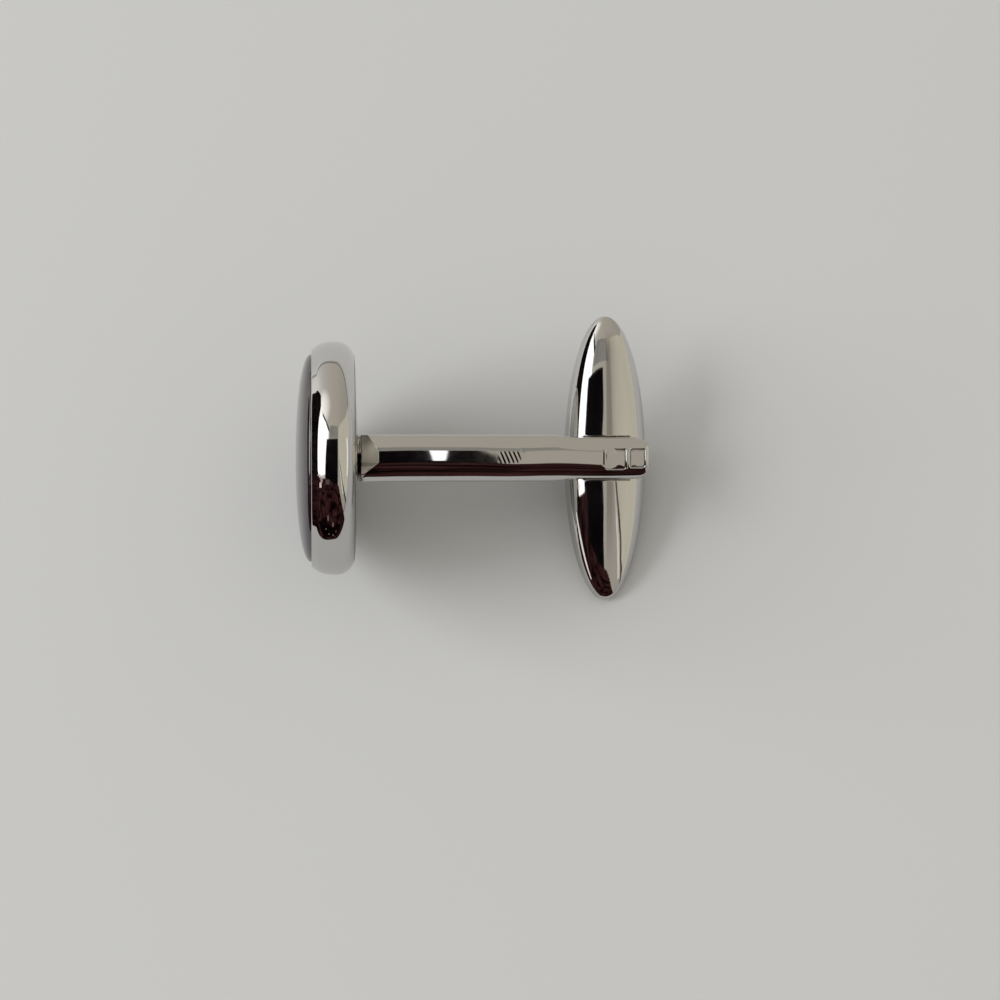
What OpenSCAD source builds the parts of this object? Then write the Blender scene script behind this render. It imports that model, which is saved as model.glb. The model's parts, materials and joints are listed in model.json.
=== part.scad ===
// Swivel cufflink: a round face with a domed inlay, a forked D-section arm, and a hollow torpedo toggle
// that turns between the fork's arms on a riveted pin. All sizes are in millimetres.
//
// Every piece is drawn in the link's own axes: X runs along the arm, away from the face, from the crest of
// the case back; Y runs along the toggle; Z runs along the pin. The whole link is then laid on a table,
// the plane Z = 0, where it rests on the face's rim, the end of the rear arm and one tip of the toggle.

/* [Face] */
// Diameter of the round face at its widest
face_d = 14.7; // [13:0.1:17]
// Width of the straight band between the rim's two rounded edges
rim_band_w = 0.3; // [0.1:0.05:0.6]
// Radius of the rim's rounded front edge
rim_front_r = 1.25; // [1.15:0.05:1.6]
// Depth of the front edge, from the band to the lip
rim_front_depth = 1.12; // [0.9:0.02:1.14]
// Radius of the rim's rounded back edge
rim_back_r = 1.2; // [1.1:0.05:1.5]
// Width of the flat lip round the inlay
lip_w = 0.1; // [0.06:0.02:0.2]
// Thickness of the inner ledge between the inlay and the back plate
ledge_t = 0.45; // [0.3:0.05:0.6]
// Width of the ledge under the edge of the back plate
ledge_w = 0.5; // [0.3:0.05:0.8]
// Thickness of the back plate at its crest
plate_t = 0.9; // [0.7:0.05:1]
// Rise of the back plate's crown above the rim
crown_rise = 0.25; // [0.15:0.01:0.35]

/* [Inlay] */
// Height of the inlay's dome above the lip
dome_h = 1; // [0.4:0.1:1.6]
// Gap between the inlay and the rim's bore
inlay_gap = 0.02; // [0.01:0.01:0.05]
// Thickness of the cement under the inlay
cement_t = 0.1; // [0.05:0.01:0.2]

/* [Arm] */
// Width of each arm of the fork
arm_w = 3; // [2.8:0.1:3.4]
// Width of the arms where they pass over the toggle
neck_w = 2.6; // [2.2:0.1:2.8]
// Thickness of an arm at the middle of its width
arm_t = 1.2; // [1:0.05:1.5]
// Radius of the rounded outer side of an arm
arm_crown_r = 2; // [1.8:0.1:2.4]
// Distance from the case back to the pin
reach = 15.7; // [13:0.1:19]
// Distance from the pin to the end of the arms
arm_overhang = 2.57; // [2.4:0.05:2.9]
// Radius of the end's corners, seen along the pin
end_corner_r = 0.9; // [0.5:0.05:1]
// Radius of the end's edges, seen along the toggle
end_edge_r = 0.3; // [0.1:0.05:0.5]
// Distance from the pin to where an arm begins to narrow
neck_start = 3.6; // [3:0.1:5]
// Distance from the pin to where an arm has narrowed
neck_stop = 1.9; // [1.5:0.1:2.5]
// Thickness of the fork's base
base_t = 1.1; // [0.9:0.1:1.5]
// Inside radius of the fork's bends
bend_r = 0.6; // [0.3:0.1:1]
// Distance from the case back to where the filed corner meets the arm's crown
corner_reach = 1.5; // [1.2:0.1:2]
// Slope of the filed corner against the arm
corner_slope = 30; // [20:1:40]
// Thickness of the solder between the case back and the fork's base
solder_t = 0.2; // [0.1:0.05:0.3]
// Distance that the solder stays in from the edges of the base
solder_inset = 0.2; // [0.1:0.05:0.5]

/* [Toggle] */
// Length of the torpedo toggle
toggle_l = 18; // [16:0.5:20]
// Width of the toggle, seen along the pin
toggle_w = 5.15; // [4.6:0.05:6]
// Thickness of the toggle along the pin
toggle_t = 2.7; // [2.5:0.1:3.2]
// Wall of the toggle's two pressed shells
shell_t = 0.45; // [0.4:0.05:0.5]
// Gap between the toggle and the inner face of each arm
swing_gap = 0.04; // [0.03:0.01:0.08]
// Depth of the groove that the arms lie over
groove_depth = 0.25; // [0.15:0.05:0.3]
// Gap between an arm's edge and the side of the groove
groove_play = 0.08; // [0.05:0.01:0.15]
// Diameter of the round boss that carries the pin in the groove
boss_d = 2.2; // [2:0.1:2.4]

/* [Pin and spring] */
// Diameter of the pivot pin
pin_d = 1.4; // [1.2:0.05:1.6]
// Width across the pin's squared middle
pin_square = 1.04; // [0.9:0.02:1.1]
// Running gap round the pin in the toggle
pin_play = 0.03; // [0.02:0.01:0.05]
// Thickness of the spring strip
strip_t = 0.18; // [0.12:0.02:0.24]
// Height of the spring strip along the pin
strip_h = 0.8; // [0.6:0.05:0.85]
// Radius to which each leaf of the spring is bowed
leaf_r = 24; // [20:1:40]
// Inside radius of the spring's closed end
hairpin_r = 1; // [0.9:0.05:1.1]
// Distance from the pin to the free ends of the leaves
leaf_reach = 4.9; // [4:0.1:5.2]
// Gap between the spring and the pin's flats
spring_gap = 0.01; // [0.01:0.01:0.03]

/* [Hidden] */
$fn = 96;
overrun = 0.5;

// The face: places along X, and radii about the X axis
face_r = face_d / 2;
band_back_x = -crown_rise - rim_back_r;
band_front_x = band_back_x - rim_band_w;
lip_x = band_front_x - rim_front_depth;
lip_r = face_r - rim_front_r + sqrt(pow(rim_front_r, 2) - pow(rim_front_depth, 2));
seat_r = lip_r - lip_w;
inlay_r = seat_r - inlay_gap;
plate_r = face_r - rim_back_r;
ledge_r = plate_r - ledge_w;
seat_x = -plate_t - ledge_t;
inlay_x = seat_x - cement_t;
crown_r = (pow(plate_r, 2) + pow(crown_rise, 2)) / (2 * crown_rise);
crown_steps = 16;

// The fork: inner faces of the arms, crowns of the arms, and places along X
fork_z = toggle_t / 2 + swing_gap;
crown_z = fork_z + arm_t;
crown_axis_z = crown_z - arm_crown_r;
arm_end_x = reach + arm_overhang;
slot_x = solder_t + base_t;
base_z = crown_z - (corner_reach - solder_t) * tan(corner_slope);

// The toggle and the pin
groove_w = neck_w + 2 * groove_play;
groove_z = toggle_t / 2 - groove_depth;
pin_r = pin_d / 2;
square_z = toggle_t / 2 - shell_t;

// The spring: the leaves' arcs and the closed end's arc touch without a corner
flat_x = pin_square / 2 + spring_gap;
leaf_axis_x = flat_x + leaf_r;
hairpin_y = sqrt(pow(leaf_r + hairpin_r, 2) - pow(leaf_axis_x, 2));
join_angle = atan2(hairpin_y, leaf_axis_x);
free_angle = asin(leaf_reach / leaf_r);

// How the link lies: the roll about the arm and then the pitch towards the fork's end at which the rim's
// back edge, the rear arm's end edge and the toggle's low tip all touch the table. Each pass takes the
// pitch that suits the roll, and then the roll that suits that pitch. The rear arm's eased edge moves its
// lowest point back from the very end by about a quarter of the edge's radius.
lie_passes = 12;
eased_share = 0.25;
function pitch_at(roll) =
    let (along = arm_end_x - eased_share * end_edge_r - band_back_x)
    let (drop = face_r - rim_back_r - arm_crown_r - crown_axis_z * cos(roll))
    atan2(drop, along) + asin(rim_back_r / norm([along, drop]));
function height_at(pitch) = band_back_x * sin(pitch) + (face_r - rim_back_r) * cos(pitch) + rim_back_r;
function roll_at(pitch) =
    let (low = height_at(pitch) - reach * sin(pitch))
    let (spare = pow(low, 2) - pow(toggle_w / 2 * sin(pitch), 2) - pow(toggle_t / 2 * cos(pitch), 2))
    asin(sqrt(spare / (pow(toggle_l / 2, 2) - pow(toggle_t / 2, 2))) / cos(pitch));
function settled_roll(roll, passes) = passes == 0 ? roll : settled_roll(roll_at(pitch_at(roll)), passes - 1);
lie_roll = settled_roll(0, lie_passes);
lie_pitch = pitch_at(lie_roll);

// The laid link's reach along the table's X axis, for an origin at the middle of its footprint
table_x = [cos(lie_pitch), sin(lie_roll) * sin(lie_pitch), cos(lie_roll) * sin(lie_pitch)];
dome_x_low = lip_x * table_x[0] - norm([dome_h * table_x[0], inlay_r * sin(lie_pitch)]);
rim_x_low = band_front_x * table_x[0] - (face_r - rim_front_r) * sin(lie_pitch) - rim_front_r;
arm_x_high = (arm_end_x - end_edge_r) * table_x[0] + crown_axis_z * table_x[2]
    + (arm_crown_r - end_edge_r) * sin(lie_pitch) + end_edge_r;
toggle_x_high = reach * table_x[0]
    + norm([toggle_w / 2 * table_x[0], toggle_l / 2 * table_x[1], toggle_t / 2 * table_x[2]]);
middle_x = (min(dome_x_low, rim_x_low) + max(arm_x_high, toggle_x_high)) / 2;

// Lays the link on the table
module laid()
    translate([-middle_x, 0, height_at(lie_pitch)]) rotate([lie_roll, lie_pitch, 0]) children();

// Turns a profile of [radius, place along X] about the X axis
module turned() rotate([0, 90, 0]) rotate_extrude() children();

// A rectangle between two corners
module span(low, high) translate(low) square(high - low);

// The rim's section: two rounded edges with a straight band between them
module rim_outline() {
    intersection() {
        translate([face_r - rim_front_r, band_front_x]) circle(rim_front_r);
        span([ledge_r, lip_x], [face_r, band_front_x]);
    }
    intersection() {
        translate([face_r - rim_back_r, band_back_x]) circle(rim_back_r);
        span([ledge_r, band_back_x], [face_r, -crown_rise]);
    }
    span([ledge_r, band_front_x], [face_r, band_back_x]);
    span([ledge_r, lip_x], [face_r - rim_front_r, band_front_x]);
    span([ledge_r, band_back_x], [plate_r, -crown_rise]);
}

// Turned rim with a bore for the inlay in front, a ledge, and a seat for the back plate behind
module face_rim() {
    color("silver") laid() turned() difference() {
        rim_outline();
        span([0, lip_x - overrun], [seat_r, seat_x]);
        span([0, -plate_t], [plate_r, overrun]);
    }
}

// Section of the back plate: flat in front, and crowned behind to the radius of a large ball
module plate_profile() {
    crown = [
        for (step = [0:crown_steps])
            let (r = plate_r * step / crown_steps)
            [r, sqrt(pow(crown_r, 2) - pow(r, 2)) - crown_r]
    ];
    polygon(concat([[0, -plate_t]], crown, [[plate_r, -plate_t]]));
}

module case_back() {
    color("silver") laid() turned() plate_profile();
}

// Inlay: a straight girdle in the rim's bore, and a half ellipsoid above the lip
module inlay() {
    color("#241a22") laid() {
        turned() span([0, lip_x], [inlay_r, inlay_x]);
        intersection() {
            translate([lip_x, 0, 0]) scale([dome_h / inlay_r, 1, 1]) sphere(inlay_r);
            turned() span([0, lip_x - dome_h - overrun], [face_r, lip_x]);
        }
    }
}

// Cement: a thin layer under the inlay, and the fill inside the ledge
module cement_bed() {
    color("ivory") laid() turned() {
        span([0, inlay_x], [inlay_r, seat_x]);
        span([0, seat_x], [ledge_r, -plate_t]);
    }
}

// The fork seen along the pin: arms that narrow to the neck and end in two round corners
module fork_plan() {
    corner_x = arm_end_x - end_corner_r;
    corner_y = neck_w / 2 - end_corner_r;
    polygon([
        [solder_t, -arm_w / 2], [reach - neck_start, -arm_w / 2], [reach - neck_stop, -neck_w / 2],
        [corner_x, -neck_w / 2], [corner_x, neck_w / 2],
        [reach - neck_stop, neck_w / 2], [reach - neck_start, arm_w / 2], [solder_t, arm_w / 2]
    ]);
    span([corner_x, -corner_y], [arm_end_x, corner_y]);
    for (side = [-1, 1]) translate([corner_x, side * corner_y]) circle(end_corner_r);
}

// The fork seen along the toggle: the bent strip with its filed corners and eased ends
module fork_side() {
    edge_x = arm_end_x - end_edge_r;
    edge_z = crown_z - end_edge_r;
    difference() {
        union() {
            polygon([
                [solder_t, -base_z], [corner_reach, -crown_z], [edge_x, -crown_z],
                [edge_x, crown_z], [corner_reach, crown_z], [solder_t, base_z]
            ]);
            span([edge_x, -edge_z], [arm_end_x, edge_z]);
            for (side = [-1, 1]) translate([edge_x, side * edge_z]) circle(end_edge_r);
        }
        span([slot_x + bend_r, -fork_z], [arm_end_x + overrun, fork_z]);
        span([slot_x, bend_r - fork_z], [arm_end_x, fork_z - bend_r]);
        for (side = [-1, 1]) translate([slot_x + bend_r, side * (fork_z - bend_r)]) circle(bend_r);
    }
}

// The fork seen along the arm: a rounded crown on each arm
module fork_section(width) {
    intersection() {
        union() {
            for (side = [-1, 1]) translate([0, side * crown_axis_z]) circle(arm_crown_r);
            span([-width, -crown_axis_z], [width, crown_axis_z]);
        }
        span([-width / 2, -crown_z], [width / 2, crown_z]);
    }
}

// The crowned bar that the fork and the pin's ends are cut from
module crowned_bar(width)
    rotate([90, 0, 90]) linear_extrude(arm_end_x + overrun) fork_section(width);

// U-shaped fork: what its plan, side and section have in common, drilled for the pin
module yoke() {
    color("silver") laid() difference() {
        intersection() {
            crowned_bar(arm_w);
            rotate([90, 0, 0]) linear_extrude(arm_w + 2 * overrun, center = true) fork_side();
            translate([0, 0, -crown_z - overrun]) linear_extrude(2 * (crown_z + overrun)) fork_plan();
        }
        translate([reach, 0, -crown_z - overrun]) cylinder(r = pin_r, h = 2 * (crown_z + overrun));
    }
}

// Solder between the crowned case back and the fork's base, drawn back from the base's edges
module solder_seam() {
    half_y = arm_w / 2 - solder_inset;
    half_z = base_z - solder_inset;
    color("gray") laid() difference() {
        translate([-crown_rise, -half_y, -half_z]) cube([crown_rise + solder_t, 2 * half_y, 2 * half_z]);
        turned() plate_profile();
    }
}

// Rivet: its ends follow the arms' crowns, and its middle is filed square for the spring
module pivot_pin() {
    flat_t = pin_r - pin_square / 2;
    color("silver") laid() difference() {
        intersection() {
            translate([reach, 0, -crown_z]) cylinder(r = pin_r, h = 2 * crown_z);
            crowned_bar(pin_d);
        }
        translate([reach, 0, 0]) for (turn = [0, 90, 180, 270]) rotate([0, 0, turn])
            translate([pin_square / 2, -pin_d, -square_z])
                cube([flat_t + overrun, 2 * pin_d, 2 * square_z]);
    }
}

// Ellipsoid of the toggle's shape, drawn in by a margin
module torpedo(margin)
    scale([toggle_w / 2 - margin, toggle_l / 2 - margin, toggle_t / 2 - margin]) sphere(1);

// One half of the hollow toggle: a pressed shell with a cross groove, a round boss and the pin's hole
module toggle_half() {
    difference() {
        union() {
            difference() {
                torpedo(0);
                translate([-toggle_w, -groove_w / 2, groove_z]) cube([2 * toggle_w, groove_w, toggle_t]);
            }
            translate([0, 0, square_z]) cylinder(d = boss_d, h = toggle_t / 2 - square_z);
        }
        torpedo(shell_t);
        cylinder(r = pin_r + pin_play, h = toggle_t);
        translate([-toggle_w, -toggle_l, -toggle_t]) cube([2 * toggle_w, 2 * toggle_l, toggle_t]);
    }
}

module toggle_front_shell() {
    color("silver") laid() translate([reach, 0, 0]) toggle_half();
}

module toggle_rear_shell() {
    color("silver") laid() translate([reach, 0, 0]) rotate([0, 180, 0]) toggle_half();
}

// A bowed length of the spring's strip: its inner and outer radius, and the angles it spans
module strip_arc(inner, from, to)
    rotate([0, 0, from]) rotate_extrude(angle = to - from)
        span([inner, -strip_h / 2], [inner + strip_t, strip_h / 2]);

// Hairpin spring: two leaves bowed in to the pin's flats, joined by a round end
module detent_spring() {
    color("darkgray") laid() translate([reach, 0, 0]) {
        translate([leaf_axis_x, 0, 0]) strip_arc(leaf_r - strip_t, 180 - join_angle, 180 + free_angle);
        translate([-leaf_axis_x, 0, 0]) strip_arc(leaf_r - strip_t, -free_angle, join_angle);
        translate([0, hairpin_y, 0]) strip_arc(hairpin_r, -join_angle, 180 + join_angle);
    }
}

face_rim();
case_back();
inlay();
cement_bed();
yoke();
solder_seam();
pivot_pin();
toggle_front_shell();
toggle_rear_shell();
detent_spring();
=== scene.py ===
# Looks of a swivel cufflink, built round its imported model. The lengths in the dictionaries are millimetres in the
# link's own axes: X along the arm away from the face, Y along the toggle, Z along the pin towards the camera.
import json
import math

import bpy
import numpy as np
from mathutils import Matrix, Vector


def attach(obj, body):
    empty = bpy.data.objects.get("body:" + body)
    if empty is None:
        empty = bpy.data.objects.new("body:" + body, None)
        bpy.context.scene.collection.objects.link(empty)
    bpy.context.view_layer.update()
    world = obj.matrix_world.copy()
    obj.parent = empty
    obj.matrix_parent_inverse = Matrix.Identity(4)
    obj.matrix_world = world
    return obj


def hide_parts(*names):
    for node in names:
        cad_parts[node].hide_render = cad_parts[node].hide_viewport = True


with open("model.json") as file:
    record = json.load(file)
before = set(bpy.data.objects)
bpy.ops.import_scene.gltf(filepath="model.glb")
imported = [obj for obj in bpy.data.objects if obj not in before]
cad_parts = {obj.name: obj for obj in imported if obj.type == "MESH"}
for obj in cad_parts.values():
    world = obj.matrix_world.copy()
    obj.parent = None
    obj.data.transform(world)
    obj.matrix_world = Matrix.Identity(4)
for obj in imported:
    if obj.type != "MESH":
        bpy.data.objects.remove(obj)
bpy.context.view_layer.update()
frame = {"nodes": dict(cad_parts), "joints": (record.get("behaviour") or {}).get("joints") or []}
nodes = frame["nodes"]


# a vector of length one that points the same way
def unitOf(vector):
    return np.asarray(vector, float) / np.linalg.norm(vector)


# the link's axes on the table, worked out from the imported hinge
link = {"reach": 15.7, "unit": 0.001}
hinge = frame["joints"][0]
pinAxis = unitOf(hinge["axis"])
lean = math.atan2(pinAxis[0], pinAxis[2])
armAxis = np.array([math.cos(lean), 0.0, -math.sin(lean)])
linkAxes = np.array([armAxis, np.cross(pinAxis, armAxis), pinAxis])
linkOrigin = np.array(hinge["pos_m"], float) - armAxis * link["reach"] * link["unit"]
print("link axes ready, arm leans", round(math.degrees(lean), 2), "degrees")


# link millimetres to table metres: each coordinate times its axis, plus the link's origin
def onTable(points):
    return np.asarray(points, float) * link["unit"] @ linkAxes + linkOrigin


# where something turned by its own axes stands on the table, from its place in link millimetres
def placed(place, axes):
    return Matrix.Translation(Vector(onTable(place))) @ Matrix(axes.tolist()).to_4x4()


# soft minimum: the lower of two heights, with a rounded change-over of the given width
def softMin(a, b, width):
    return 0.5 * (a + b - np.sqrt((a - b) ** 2 + width ** 2))


# smooth step: 0 below 0, 1 above 1, an S between
def ease(t):
    t = np.clip(t, 0.0, 1.0)
    return t * t * (3 - 2 * t)


# a soft edge: from 0 to 1 over the given width, half way where the distance is 0
def past(distance, width):
    return ease((distance + width / 2) / width)


# a band: 1 between two places and 0 outside them, with a soft start and a soft end
def band(value, low, high, softLow, softHigh):
    return ease((value - low) / softLow) * ease((high - value) / softHigh)


# hand-finished surface: sines in seeded directions and phases, added and scaled to about -1 to 1
def ripple(x, y, z, wavelength, seed, waves=7):
    rng = np.random.default_rng(seed)
    total = np.zeros(np.broadcast(x, y, z).shape)
    for _ in range(waves):
        d = unitOf(rng.normal(size=3))
        step = wavelength * rng.uniform(0.6, 1.6)
        total += np.sin(2 * np.pi * (x * d[0] + y * d[1] + z * d[2]) / step + rng.uniform(0, 2 * np.pi))
    return total / math.sqrt(waves)


# a polyline in the plane, resampled to even steps along its length
def evenly(line, count):
    line = np.asarray(line, float)
    run = np.concatenate([[0], np.cumsum(np.linalg.norm(np.diff(line, axis=0), axis=1))])
    at = np.linspace(0, run[-1], count)
    return np.column_stack([np.interp(at, run, line[:, k]) for k in range(line.shape[1])])


# a path through corners, each leg resampled to its own number of points, less the first corner
def throughCorners(corners, counts):
    return np.concatenate([evenly(corners[k:k + 2], count)[1:] for k, count in enumerate(counts)])


# the angles of a full turn
def fullTurn(count):
    return np.linspace(0, 2 * np.pi, count, endpoint=False)


# index grid to quads, row by row; a quad with two equal corners comes back as a triangle
def facesOf(index):
    quads = np.stack([index[:-1, :-1], index[1:, :-1], index[1:, 1:], index[:-1, 1:]], -1).reshape(-1, 4)
    flat = quads == np.roll(quads, -1, axis=1)
    whole = quads[~flat.any(axis=1)]
    corners = quads[flat.sum(axis=1) == 1]
    drop = flat[flat.sum(axis=1) == 1].argmax(axis=1)
    keep = np.ones(corners.shape, bool)
    keep[np.arange(len(corners)), drop] = False
    return whole, corners[keep].reshape(-1, 3)


# six times the volume that the faces close in, from triangles fanned out of each face's first corner
def closedVolume(points, quads, tris):
    fans = np.concatenate([tris, quads[:, [0, 1, 2]], quads[:, [0, 2, 3]]])
    a, b, c = (points[fans[:, k]] for k in range(3))
    return float((a * np.cross(b, c)).sum())


# a value for each point, kept under a name that the materials read
def markPoints(mesh, name, values):
    marks = mesh.attributes.get(name) or mesh.attributes.new(name, "FLOAT", "POINT")
    marks.data.foreach_set("value", np.asarray(values, np.float32).ravel())


def addObject(name, data):
    made = bpy.data.objects.new(name, data)
    bpy.context.scene.collection.objects.link(made)
    return made


# one closed piece from points and index grids, turned to face outwards, riding on its body
def makePiece(name, points, grids, body, material, stoodFor, crease=None, sharpAngle=40):
    parts = [facesOf(g) for g in grids]
    quads = np.concatenate([p[0] for p in parts])
    tris = np.concatenate([p[1] for p in parts])
    if closedVolume(points, quads, tris) < 0:
        quads, tris = quads[:, ::-1], tris[:, ::-1]
    mesh = bpy.data.meshes.new(name)
    mesh.vertices.add(len(points))
    mesh.vertices.foreach_set("co", onTable(points).astype(np.float32).ravel())
    mesh.loops.add(quads.size + tris.size)
    mesh.loops.foreach_set("vertex_index", np.concatenate([quads.ravel(), tris.ravel()]).astype(np.int32))
    starts = np.concatenate([np.arange(len(quads)) * 4, quads.size + np.arange(len(tris)) * 3])
    mesh.polygons.add(len(starts))
    mesh.polygons.foreach_set("loop_start", starts.astype(np.int32))
    mesh.update(calc_edges=True)
    mesh.validate()
    mesh.shade_smooth()
    mesh.set_sharp_from_angle(angle=math.radians(sharpAngle))
    markPoints(mesh, "crease", np.zeros(len(points)) if crease is None else crease)
    mesh.materials.append(material)
    made = addObject(name, mesh)
    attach(made, body)
    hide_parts(stoodFor)
    print(name, len(quads) * 2 + len(tris), "triangles")
    return made


# surface of revolution about the arm's axis: profile rows of (X, radius), closed into a ring, or with both ends on
# the axis closed into a solid
def turnedPiece(name, profile, ring, material, stoodFor, crease=None, shake=0.0, shakeLength=3.0, seed=1):
    profile = np.asarray(profile, float)
    around = face["around"]
    turn = fullTurn(around)[:, None]
    x = profile[None, :, 0] + 0 * turn
    y = profile[None, :, 1] * np.cos(turn)
    z = profile[None, :, 1] * np.sin(turn)
    if shake:
        swell = 1 + shake * ripple(x, y, z, shakeLength, seed) / np.maximum(profile[None, :, 1], 1.0)
        y, z = y * swell, z * swell
    count = len(profile)
    index = np.arange(around * count).reshape(around, count)
    points = np.stack([x, y, z], -1).reshape(-1, 3)
    if ring:
        index = np.concatenate([index, index[:, :1]], 1)
    else:
        index[:, 0], index[:, -1] = index[0, 0], index[0, -1]
    index = np.concatenate([index, index[:1]], 0)
    used, packed = np.unique(index, return_inverse=True)
    marks = None if crease is None else np.tile(crease, around)[used]
    return makePiece(name, points[used], [packed.reshape(index.shape)], "link", material, stoodFor, marks)


# closed piece from a stack of loops, each end closed by a fan round a centre point
def loopedPiece(name, loops, centres, material, stoodFor, crease, sharpAngle=40):
    rows, columns = loops.shape[:2]
    index = np.arange(rows * columns).reshape(rows, columns)
    index = np.concatenate([index, index[:, :1]], 1)
    first, last = np.full(columns + 1, rows * columns), np.full(columns + 1, rows * columns + 1)
    grids = [index, np.stack([first, index[0]]), np.stack([index[-1], last])]
    points = np.concatenate([loops.reshape(-1, 3), centres])
    marks = np.concatenate([crease.ravel(), [0, 0]])
    return makePiece(name, points, grids, "link", material, stoodFor, marks, sharpAngle)


# materials

# a node's inputs, by name or number: another node's output is wired in, a plain value is set
def fill(tree, node, inputs):
    for key, value in inputs.items():
        if isinstance(value, bpy.types.NodeSocket):
            tree.links.new(value, node.inputs[key])
        else:
            node.inputs[key].default_value = value


def addNode(tree, kind, at, inputs=None, **settings):
    node = tree.nodes.new("ShaderNode" + kind)
    node.location = at
    for key, value in settings.items():
        setattr(node, key, value)
    fill(tree, node, inputs or {})
    return node


def noiseAt(tree, at, vector, scale, detail=3.0, rough=0.5):
    inputs = {"Vector": vector, "Scale": scale, "Detail": detail, "Roughness": rough}
    return addNode(tree, "TexNoise", at, inputs).outputs["Fac"]


def mathAt(tree, at, operation, a, b=0.0, clamp=False, c=0.5):
    return addNode(tree, "Math", at, {0: a, 1: b, 2: c}, operation=operation, use_clamp=clamp).outputs[0]


def dotAt(tree, at, vector, axis):
    return addNode(tree, "VectorMath", at, {0: vector, 1: axis}, operation="DOT_PRODUCT").outputs["Value"]


# two colours that run into each other between two levels of a value
def rampAt(tree, at, value, low, high, levels=(0.0, 1.0)):
    node = addNode(tree, "ValToRGB", at, {"Fac": value})
    for stop, level, colour in zip(node.color_ramp.elements, levels, (low, high)):
        stop.position, stop.color = level, colour
    return node.outputs["Color"]


def newGroup(name, inputs, outputs):
    tree = bpy.data.node_groups.new(name, "ShaderNodeTree")
    for label, kind, value in inputs:
        socket = tree.interface.new_socket(label, in_out="INPUT", socket_type="NodeSocket" + kind)
        socket.default_value = value
    for label, kind in outputs:
        tree.interface.new_socket(label, in_out="OUTPUT", socket_type="NodeSocket" + kind)
    given, out = tree.nodes.new("NodeGroupInput"), tree.nodes.new("NodeGroupOutput")
    given.location, out.location = (-900, 0), (700, 0)
    return tree, given.outputs, out


# noise scales are waves per metre, and bump distances are metres
polish = {"rubScales": [(9000, 700, 700), (800, 9500, 900)], "rubTurns": [0.4, -0.3], "rubTilt": 0.2, "rubDepth": 0.06,
          "dentScale": 420.0, "hazeScale": 260.0, "hazeFrom": 0.42, "hazeGain": 3.0}
grimeAndShade = {"scale": 2600.0, "gain": 1.9, "rough": 0.35, "sootAndShade": (0.006, 0.004, 0.003, 1)}
silverColour = (0.69, 0.685, 0.67, 1)


# polish marks: hair-fine rub lines in two directions, low dents and a cloudy haze
def polishMarksGroup():
    tree, given, out = newGroup("polishMarks", [
        ("Vector", "Vector", (0, 0, 0)), ("Rub", "Float", 1.0), ("Dents", "Float", 1.0)
    ], [("Height", "Float"), ("Haze", "Float")])
    spot, lines = given["Vector"], []
    for row, (stretch, turn) in enumerate(zip(polish["rubScales"], polish["rubTurns"])):
        place = addNode(tree, "Mapping", (-700, 300 - 300 * row),
                        {"Vector": spot, "Scale": stretch, "Rotation": (polish["rubTilt"], lean, turn)})
        lines.append(noiseAt(tree, (-480, 300 - 300 * row), place.outputs["Vector"], 1.0, 2.0, 0.6))
    rub = mathAt(tree, (-260, 150), "MULTIPLY", mathAt(tree, (-380, 150), "MAXIMUM", *lines), given["Rub"])
    rub = mathAt(tree, (-160, 100), "MULTIPLY", rub, polish["rubDepth"])
    dents = noiseAt(tree, (-480, -350), spot, polish["dentScale"], 2.0)
    dents = mathAt(tree, (-260, -200), "MULTIPLY", dents, given["Dents"])
    cloud = noiseAt(tree, (-480, -600), spot, polish["hazeScale"], 5.0, 0.6)
    cloud = mathAt(tree, (-160, -500), "SUBTRACT", cloud, polish["hazeFrom"], True)
    fill(tree, out, {"Height": mathAt(tree, (-60, 50), "ADD", rub, dents),
                     "Haze": mathAt(tree, (-60, -500), "MULTIPLY", cloud, polish["hazeGain"], True)})
    return tree


# tarnish and painted shade: brown-black sulphide that stays where the polishing mop can't reach, broken up by noise;
# the same dark colour also paints shade into some creases and gaps, and a dark reflection band on the toggle
def tarnishAndShadeGroup():
    tree, given, out = newGroup("tarnishAndShade", [
        ("Vector", "Vector", (0, 0, 0)), ("Crease", "Float", 0.0), ("ToningAndPaintedShade", "Float", 0.0),
        ("Clean", "Color", silverColour), ("Dark", "Color", (0.06, 0.045, 0.035, 1))
    ], [("Color", "Color"), ("Mask", "Float")])
    grain = noiseAt(tree, (-600, -100), given["Vector"], grimeAndShade["scale"], 4.0, 0.65)
    grain = mathAt(tree, (-480, -100), "MULTIPLY", grain, grimeAndShade["gain"])
    broken = mathAt(tree, (-380, 0), "MULTIPLY", given["Crease"], grain, True)
    most = mathAt(tree, (0, 0), "MAXIMUM", broken, given["ToningAndPaintedShade"])
    mixed = addNode(tree, "Mix", (200, 100), {0: most, 6: given["Clean"], 7: given["Dark"]}, data_type="RGBA")
    fill(tree, out, {"Color": mixed.outputs[2], "Mask": broken})
    return tree


polishMarks = polishMarksGroup()
tarnishAndShade = tarnishAndShadeGroup()


def newMaterial(name):
    material = bpy.data.materials.new(name)
    material.use_nodes = True
    tree = material.node_tree
    return material, tree, tree.nodes["Principled BSDF"], addNode(tree, "TexCoord", (-1300, 0)).outputs["Object"]


# polish marks on a material: their bump goes to the shader, their haze comes back
def addPolish(tree, shader, spot, finish):
    marks = addNode(tree, "Group", (-1000, -200), {"Vector": spot, "Rub": finish["rub"], "Dents": finish["dents"]},
                    node_tree=polishMarks)
    bump = addNode(tree, "Bump", (-300, -300), {"Distance": finish["bump"], "Height": marks.outputs["Height"]})
    fill(tree, shader, {"Normal": bump.outputs["Normal"]})
    return mathAt(tree, (-650, -50), "MULTIPLY", marks.outputs["Haze"], finish["haze"])
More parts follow.
